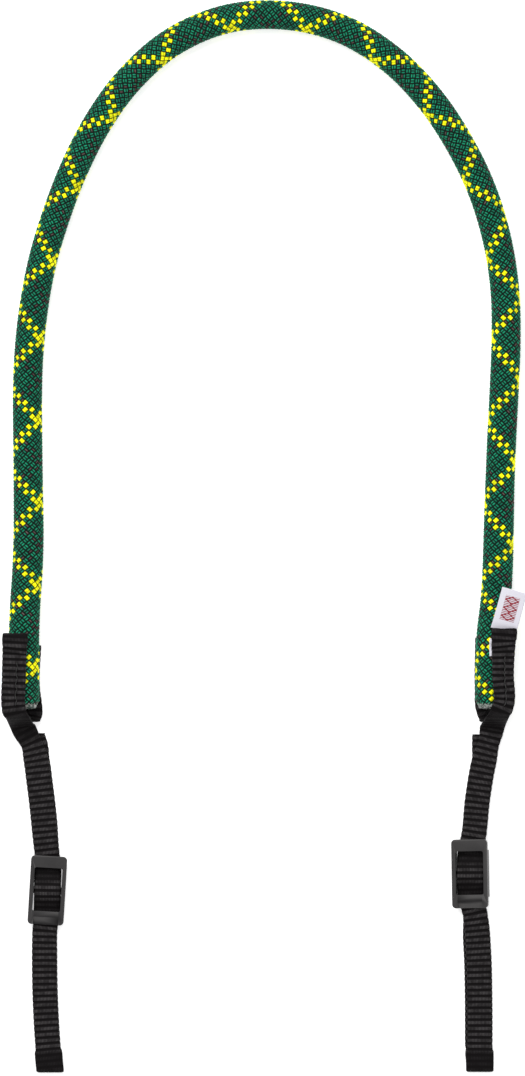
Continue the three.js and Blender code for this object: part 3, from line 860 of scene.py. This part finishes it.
    def relief(self):
        """How strongly the ribs stand out at each station, from 0 to 1."""
        y = self.centre[:, 1]
        ribbed = self.strap_y - self.flat_below
        on_ramp = ease(self.strap_y + 10, self.strap_y + 7.5, y) * ease(ribbed, ribbed + 3, y)
        pressed = ease(self.loop_y + 9.5, self.loop_y + 6.5, y)
        hem = ease(self.hem_y - 4.5, self.hem_y - 2.5, y)
        off_bar = np.abs(y - self.buckle[1])
        in_window = ease(10.5, 8.5, off_bar) * ease(1.5, 4.5, off_bar)
        flattened = RAMP_FLATTENED * on_ramp + LOOP_FLATTENED * pressed
        return 1 - flattened - HEM_FLATTENED * hem - WINDOW_FLATTENED * in_window

    def index_at(self, y, tail=False):
        """The station nearest to y on the upper ply, or on the tail under it."""
        off = np.where(self.is_tail == tail, np.abs(self.centre[:, 1] - y), np.inf)
        return int(np.argmin(off))


def ribbon(centre, across, up, along, relief, width=None, furrow=None):
    """Webbing swept through stations: ribs across it, warp yarns along it, and scalloped selvages.

    furrow is a line of stitches' place across the webbing and its depth at each station. Gives the
    points, faces, UVs and, for each point, how strongly the ribs stand out there.
    """
    top = np.linspace(-1, 1, 2 * YARNS + 1)
    x = np.concatenate([top, top[-2:0:-1]]) * WEB_WIDTH / 2
    side = np.where(np.arange(len(x)) < len(top), 1, -1)
    edge = np.abs(x) / (WEB_WIDTH / 2)
    half = WEB_THICKNESS / 2 * (1 - edge**10) ** 0.5
    yarn = np.arange(len(x)) % 2
    rib = np.abs(np.sin(math.pi * along / RIB_PITCH)) ** 0.6
    loss = RIB_DEPTH * relief[:, None] * (1 - rib[:, None]) + YARN_DEPTH * (1 - yarn)[None, :]
    depth = half[None, :] - loss * (half / half.max())[None, :]
    if furrow is not None:
        place, deep = furrow
        profile = np.exp(-(((x - place) / 0.5) ** 2)) * (side < 0)
        depth = depth - deep[:, None] * profile[None, :]
    scallop = 1 - 0.036 * relief[:, None] * (1 - rib[:, None]) * (edge > 0.98)[None, :]
    if width is not None:
        scallop = scallop * width[:, None]
    rings = (
        centre[:, None]
        + (x[None, :] * scallop)[..., None] * across[:, None]
        + (side[None, :] * depth)[..., None] * up[:, None]
    )
    return (*tube(rings, x, along), np.append(np.repeat(relief, len(x)), relief[[0, -1]]))


def run_of(end, begin, stop, furrow=None):
    """A run of an end's webbing between two stations."""
    s = slice(begin, stop + 1)
    furrow = furrow and (furrow[0], furrow[1][s])
    forms = (end.centre[s], end.across[s], end.up[s], end.along[s], end.relief()[s], end.width()[s])
    return ribbon(*forms, furrow)


def webbing_piece(name, *runs):
    """An object of one or more runs of webbing."""
    piece = new_mesh(name, *joined([run[:3] for run in runs]))
    set_at_points(piece, "relief", np.concatenate([run[3] for run in runs]))
    return piece


def make_straps(end, material):
    """The webbing of one end, in four pieces."""
    joint_y = end.strap_y - 6.6  # the front ply runs on to here, below the strap's bend
    under_bar = end.buckle[1] - BUCKLE_LENGTH / 2 + 2.3  # hidden by the buckle's lower end bar
    main_top, main_bar = end.index_at(joint_y), end.index_at(under_bar)
    tail_top, tail_bar = end.index_at(joint_y, True), end.index_at(under_bar, True)

    y = end.centre[:, 1]
    top, foot = end.hem_y - FURROW_FROM_HEM, end.strap_y + FURROW_FROM_STRAP
    seam = FURROW_DEPTH * ease(top, top - FURROW_FADE, y) * ease(foot, foot + FURROW_FADE, y)
    front = webbing_piece(f"{end.name}_sleeve_front", run_of(end, 0, main_top, (end.stitch_x, seam)))
    finish_piece(front, material, [f"{end.name}_front_ply"])
    tip = webbing_piece(f"{end.name}_tail_tip", run_of(end, tail_top, len(end.along) - 1))
    finish_piece(tip, material)
    runs = run_of(end, main_top, main_bar), run_of(end, tail_bar, tail_top)
    upper = webbing_piece(f"{end.name}_strap_upper", *runs)
    finish_piece(upper, material, [f"{end.name}_strap_webbing"])
    lower = webbing_piece(f"{end.name}_strap_loop", run_of(end, main_bar, tail_bar))
    finish_piece(lower, material)

    def at(y):
        return Vector((end.buckle[0], y, MAIN_Z)) * MM

    for piece in (front, tip):
        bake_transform(piece)
    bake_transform(upper)
    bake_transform(lower)


def make_back_ply(end, material):
    """The ply under the rope's end, turned up a little round it."""
    pairs = edge_pairs(f"{end.name}_back_ply")
    top, foot = pairs[:, 0].max(), pairs[:, 0].min()
    bend = bezier((foot + 4.3, TAIL_Z), (foot + 1.4, TAIL_Z), (foot + 0.6, 1.6), (foot - 0.5, 3.6), 16)
    line = np.concatenate([[[top, TAIL_Z]], bend])
    along = np.arange(0, lengths_along(line)[-1], RIB_PITCH / RIB_STEPS)
    y, z = resampled(line, along).T
    centre = np.stack([by_y(pairs, 1, y), y, z], 1)
    tangent = unit(np.gradient(centre, axis=0))
    across = unit(np.array([1.0, 0, 0]) - tangent * tangent[:, :1])
    up = np.cross(across, tangent)
    relief = 1 - HEM_FLATTENED * ease(foot + 5, foot + 3, y)
    piece = webbing_piece(f"{end.name}_sleeve_back", ribbon(centre, across, up, along, relief))
    finish_piece(piece, material, [f"{end.name}_back_ply"])
    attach(piece, "root")


def on_ply(end, x, y, lift):
    """A point over the front ply's face, x across from its middle."""
    flat = ~end.is_tail & (end.along > end.along[0] + HEM_LENGTH + 3)
    order = np.argsort(end.centre[flat, 1])
    known = end.centre[flat, 1][order]
    centre, across, up = (rows_at(y, known, a[flat][order]) for a in (end.centre, end.across, end.up))
    return centre + x * across - lift * up


STITCH_PITCH = 2.05
STITCH_SWING = 0.3
STITCH_SUNK = 0.5  # how far below the webbing's face each stitch starts and ends
STITCH_RISE = 0.36  # how much higher its middle is
THREAD_RADIUS = 0.22


def make_stitching(end, material):
    """A zigzag lockstitch down the sleeve, each stitch drawn into the webbing at its ends."""
    low, high = (np.array(c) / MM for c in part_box(f"{end.name}_sleeve_stitching"))
    line = []
    for k in range(round((high[1] - low[1]) / STITCH_PITCH)):
        a = end.stitch_x + (STITCH_SWING if k % 2 else -STITCH_SWING)
        b = 2 * end.stitch_x - a
        for t in np.linspace(0, 1, 7)[:-1]:
            lift = WEB_THICKNESS / 2 - STITCH_SUNK + STITCH_RISE * math.sin(math.pi * t) ** 0.7
            line.append(on_ply(end, a + (b - a) * t, low[1] + (k + t) * STITCH_PITCH, lift))
    piece = new_mesh(f"{end.name}_zigzag_thread", *round_tube(line, THREAD_RADIUS))
    finish_piece(piece, material, [f"{end.name}_sleeve_stitching"])
    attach(piece, "root")


# ---- Buckle

RAIL = 1.5
TOP_BAR = 4.3
FOOT_BAR = 4.9
MOUTH_LENGTH = 4.0  # under each end bar, where the rails don't reach down
FOOT_BEVEL = 2.8  # length of the slope that the webbing leaves over
FOOT_BEVEL_SLOPE = math.radians(33)
END_BAR_UNDERSIDE = 2.8
CENTRE_BAR = (2.6, 0.2, 1.8)  # length along the strap, bottom, top
BUCKLE_CORNER = 1.4
INNER_CORNER = 0.7  # of the window and the centre bar
SHARP = 0.1  # corners of what is cut away
EDGE_ROUNDING = 0.42


def prism(outline, bottom, top):
    """A closed prism over an outline."""
    n = len(outline)
    points = [(x, y, z) for z in (bottom, top) for x, y in outline]
    sides = [[k, (k + 1) % n, n + (k + 1) % n, n + k] for k in range(n)]
    return points, [list(range(n))[::-1], list(range(n, 2 * n)), *sides]


def baked(piece):
    """Applies a piece's modifiers."""
    graph = bpy.context.evaluated_depsgraph_get()
    mesh = bpy.data.meshes.new_from_object(piece.evaluated_get(graph), depsgraph=graph)
    piece.modifiers.clear()
    piece.data = mesh


def buckle_tools():
    """What is cut from the buckle's block, in order, and the centre bar that is joined to it."""
    inside = BUCKLE_WIDTH - 2 * RAIL
    window = rounded_rectangle(inside, BUCKLE_LENGTH - TOP_BAR - FOOT_BAR, INNER_CORNER)
    window = window + (0, (FOOT_BAR - TOP_BAR) / 2)
    tunnel = rounded_rectangle(inside, 2 * BUCKLE_LENGTH, SHARP, 1)
    mouth = rounded_rectangle(2 * BUCKLE_WIDTH, 2 * MOUTH_LENGTH, SHARP, 1)
    length, bottom, top = CENTRE_BAR
    bar = rounded_rectangle(length, top - bottom, INNER_CORNER, 5)
    reach = inside / 2 + 0.6
    bar_points = [(x, y, z + (top + bottom) / 2) for x in (-reach, reach) for y, z in bar]
    slope, faces = prism(rounded_rectangle(WEB_WIDTH, 2 * FOOT_BEVEL, SHARP, 1), 0, BUCKLE_HEIGHT)
    slope = (np.array(slope) - (0, FOOT_BEVEL, 0)) @ rotation(0, FOOT_BEVEL_SLOPE).T
    slope = slope + (0, FOOT_BEVEL - BUCKLE_LENGTH / 2, BUCKLE_HEIGHT)
    return [
        (new_mesh("bevel", slope, faces), "DIFFERENCE"),
        *((new_mesh("mouth", *prism(mouth + (0, y), -1, END_BAR_UNDERSIDE)), "DIFFERENCE")
          for y in (BUCKLE_LENGTH / 2, -BUCKLE_LENGTH / 2)),
        (new_mesh("window", *prism(window, -1, BUCKLE_HEIGHT + 1)), "DIFFERENCE"),
        (new_mesh("tunnel", *prism(tunnel, -1, END_BAR_UNDERSIDE)), "DIFFERENCE"),
        (new_mesh("bar", bar_points, prism(bar, 0, 1)[1]), "UNION"),
    ]


def make_buckle(end, material):
    """A three-bar slide, moulded in one and rounded along its edges."""
    block = prism(rounded_rectangle(BUCKLE_WIDTH, BUCKLE_LENGTH, BUCKLE_CORNER), 0, BUCKLE_HEIGHT)
    body = new_mesh(f"{end.name}_slide_buckle", *block)
    tools = buckle_tools()
    for tool, operation in tools:
        change = body.modifiers.new(operation, "BOOLEAN")
        change.operation, change.object, change.solver = operation, tool, "EXACT"
    edges = body.modifiers.new("edges", "BEVEL")
    edges.width, edges.segments, edges.limit_method = EDGE_ROUNDING * MM, 3, "ANGLE"
    edges.angle_limit = math.radians(50)
    edges.use_clamp_overlap = True
    bpy.context.view_layer.update()
    baked(body)
    for tool, _ in tools:
        bpy.data.objects.remove(tool)
    co = np.array([v.co for v in body.data.vertices])
    co[:, 2] -= BUCKLE_HEIGHT / 2 * MM
    co = co @ rotation(1, -end.roll).T @ rotation(2, end.turn).T + end.buckle * MM
    body.data.vertices.foreach_set("co", co.astype(np.float32).ravel())
    body.data.update()
    body.data.shade_smooth()
    normals = body.modifiers.new("normals", "WEIGHTED_NORMAL")
    normals.keep_sharp = True
    finish_piece(body, material, [f"{end.name}_buckle"])
    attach(body, f"{end.name}_slider")


# ---- Label

LABEL_WIDTH = 9.5
LABEL_LENGTH = 12.9
LABEL_LAYER = 0.26
LABEL_GAP = 0.2  # from the middle plane to the middle of each layer
LABEL_FOLD = 0.6  # room for the outer fold
LABEL_TUCK = 2.8  # under the hem
LABEL_LEAN = math.radians(-15)
LABEL_LIFT = math.radians(5)
MOTIF_ROWS = 3
MOTIF_PITCH = 3.05
MOTIF_HALF_WIDTH = 2.75
MOTIF_HATCH = MOTIF_PITCH / 5
MOTIF_FROM = 3.9  # from the label's sewn end
MOTIF_LINE = 0.84  # where a diamond's outline runs, between its middle at 0 and its points at 1
MOTIF_LINE_HALF = 0.17


def make_label(material):
    """A folded tag, its two layers open at the hem and round at the outer fold."""
    joint = next(j for j in frame["joints"] if j["name"] == "label_flap")
    hinge = np.array(joint["pos_m"]) / MM
    across = joint["axis"]
    tilt = -math.atan2(across[2], across[0])
    turn = rotation(1, tilt) @ rotation(2, LABEL_LEAN) @ rotation(0, LABEL_LIFT)
    x = np.linspace(-LABEL_WIDTH / 2, LABEL_WIDTH / 2, 25)
    fold_y = LABEL_LENGTH - LABEL_FOLD
    out = np.linspace(-LABEL_TUCK, fold_y, 46)
    angles = np.linspace(math.pi / 2, -math.pi / 2, 9)[1:-1]
    top = np.stack([out, np.full_like(out, LABEL_GAP)], 1)
    fold = np.stack([fold_y + 0.25 * np.cos(angles), LABEL_GAP * np.sin(angles)], 1)
    line = np.concatenate([top, fold, top[::-1] * (1, -1)])
    along = lengths_along(line)
    tangent = unit(np.gradient(line, axis=0))
    normal = np.stack([-tangent[:, 1], tangent[:, 0]], 1)
    sheets = []
    for direction in (1, -1):
        side = line + direction * LABEL_LAYER / 2 * normal
        bow = 0.25 * np.cos(x * 0.33)[None, :] + 0.12 * np.sin(side[:, :1] * 0.4 + x[None, :] * 0.2)
        height = side[:, 1:] + bow - 0.35 * (1 - ease(-2.5, 0, side[:, :1]))
        sheets.append(np.stack(np.broadcast_arrays(x, side[:, :1], height), -1))
    rings = np.concatenate([sheets[0], sheets[1][:, ::-1]], axis=1)
    points, faces, uv = tube(rings, np.concatenate([x, x[::-1]]), along)
    piece = new_mesh("label_tag", points @ turn.T + hinge, faces, uv)
    finish_piece(piece, material, ["woven_label"])
    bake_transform(piece)


def make_label_end(end, material):
    """The sewn-in end of the label, which shows along the inner edge of the ply over it."""
    y = np.linspace(end.hem_y - 10.2, end.hem_y - 4, 15)
    out, under = -WEB_WIDTH / 2 - 0.55, -WEB_WIDTH / 2 + 1.5
    top, bottom = -WEB_THICKNESS / 2 - 0.1, -WEB_THICKNESS / 2 - 0.35
    corners = ((out, top), (under, top), (under, bottom), (out, bottom))
    rings = np.array([[on_ply(end, x, v, lift) for x, lift in corners] for v in y])
    points, faces, uv = tube(rings, np.array([8.0, 9.0, 9.0, 8.0]), y)
    piece = new_mesh("label_sewn_end", points, faces, uv)
    finish_piece(piece, material)
    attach(piece, "root")


# ---- Surroundings

def make_floor():
    half, segments = 8000, 24
    at = np.linspace(-half, half, segments + 1)
    points = [(x, y, -0.05) for y in at for x in at]
    row = segments + 1
    faces = [[j * row + i, j * row + i + 1, (j + 1) * row + i + 1, (j + 1) * row + i]
             for j in range(segments) for i in range(segments)]
    floor = new_mesh("floor", points, faces)
    s = Shader("floor")
    place = s.add("TexCoord", output="Object")
    soft = s.noise(place, 40.0, 2.0)
    s.set(
        Base_Color=s.mix(soft, (0.9, 0.9, 0.9), (0.92, 0.92, 0.92)),
        Roughness=0.9,
        Specular_IOR_Level=0.1,
        Emission_Color=(1, 1, 1, 1),
        Emission_Strength=0.5,
    )
    floor.data.materials.append(s.material)


def make_light(name, position, size, power):
    """A square light that faces the middle. Its position and size are in metres, its power in watts."""
    lamp = bpy.data.lights.new(name, "AREA")
    lamp.shape, lamp.size, lamp.energy = "SQUARE", size, power
    holder = new_object(name, lamp)
    holder.location = position
    holder.rotation_mode = "QUATERNION"
    holder.rotation_quaternion = (-Vector(position)).to_track_quat("-Z", "Y")


def make_surroundings():
    make_floor()
    make_light("key", (-0.5, 1.0, 1.5), 1.2, 25)
    make_light("fill", (0.9, -0.6, 1.6), 1.6, 5)
    world = bpy.data.worlds.new("studio")
    world.use_nodes = True
    background = world.node_tree.nodes["Background"]
    background.inputs["Color"].default_value = (1, 1, 1, 1)
    background.inputs["Strength"].default_value = 0.62
    bpy.context.scene.world = world
    bpy.context.scene.view_settings.view_transform = "Standard"


# ---- The whole strap

make_camera()
rope = Rope()
make_rope(rope, braid_material())
make_core(rope, core_material())

ends = [End("left", -1, stitch_x=1.1, flat_below=4.0), End("right", 1, stitch_x=0.4, flat_below=0.5)]
webbing = webbing_material()
thread = thread_material()
melted = melted_material()
moulded = buckle_material()
for strap_end in ends:
    make_rope_seal(rope, strap_end, melted)
    make_straps(strap_end, webbing)
    make_back_ply(strap_end, webbing)
    make_stitching(strap_end, thread)
    make_buckle(strap_end, moulded)
tape = label_material()
make_label(tape)
make_label_end(ends[1], tape)
make_surroundings()
